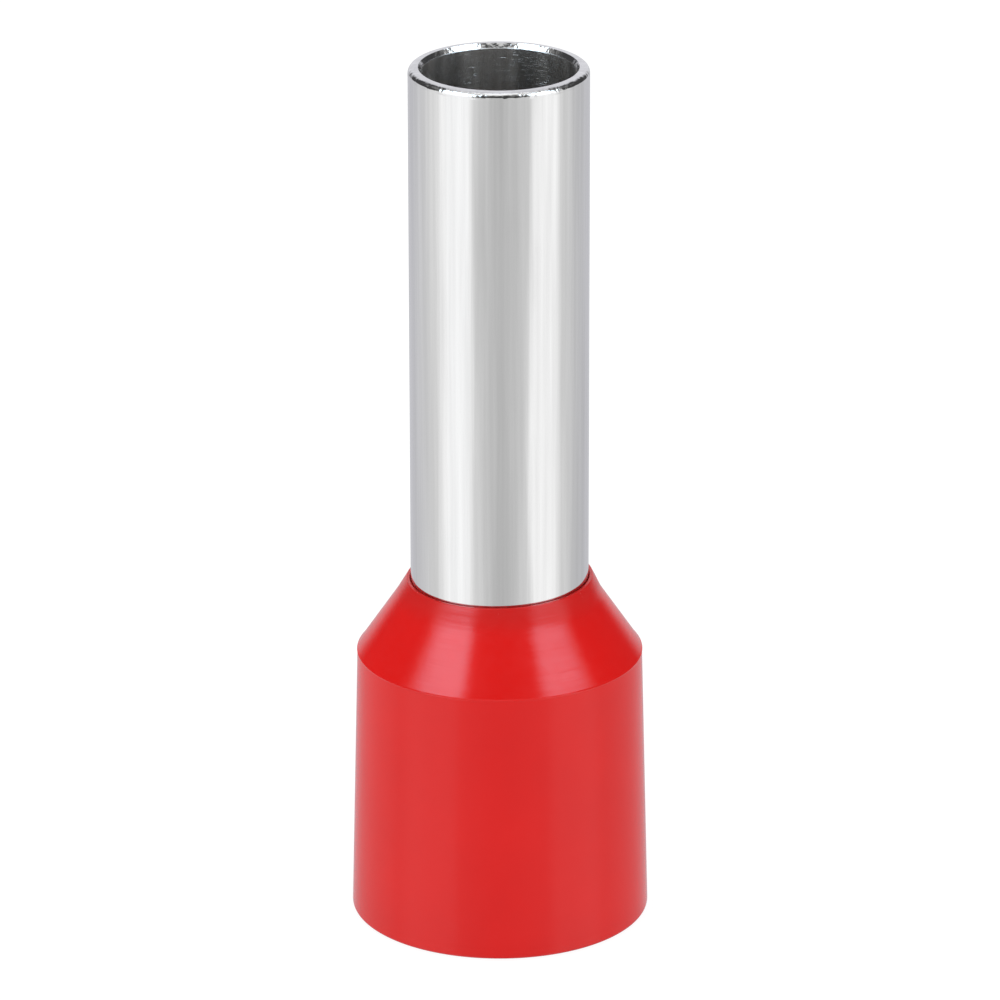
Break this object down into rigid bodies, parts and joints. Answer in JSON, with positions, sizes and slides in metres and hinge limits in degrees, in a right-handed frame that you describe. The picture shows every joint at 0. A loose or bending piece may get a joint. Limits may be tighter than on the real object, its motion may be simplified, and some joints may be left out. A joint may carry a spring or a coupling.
{
  "type": "wire ferrule",
  "caption": "Insulated wire ferrule: a tinned copper crimp tube standing up from a red plastic collar with a conical shoulder.",
  "frame": {"origin": "centre of the collar's mouth, on the surface that the ferrule stands on", "axes": "+Z along the ferrule's axis, from the collar's mouth to the tube's free end; X and Y are any two directions across it, as the part is round"},
  "size_m": [0.0068, 0.0068, 0.02],
  "materials": {
    "tinned_copper": "bright tin plating on drawn copper, with faint lines along the tube",
    "red_polypropylene": "satin gloss, as moulded, with fine rings on the shoulder"
  },
  "bodies": {
    "root": {"crimp_tube": "tinned_copper", "insulating_collar": "red_polypropylene"}
  },
  "joints": []
}
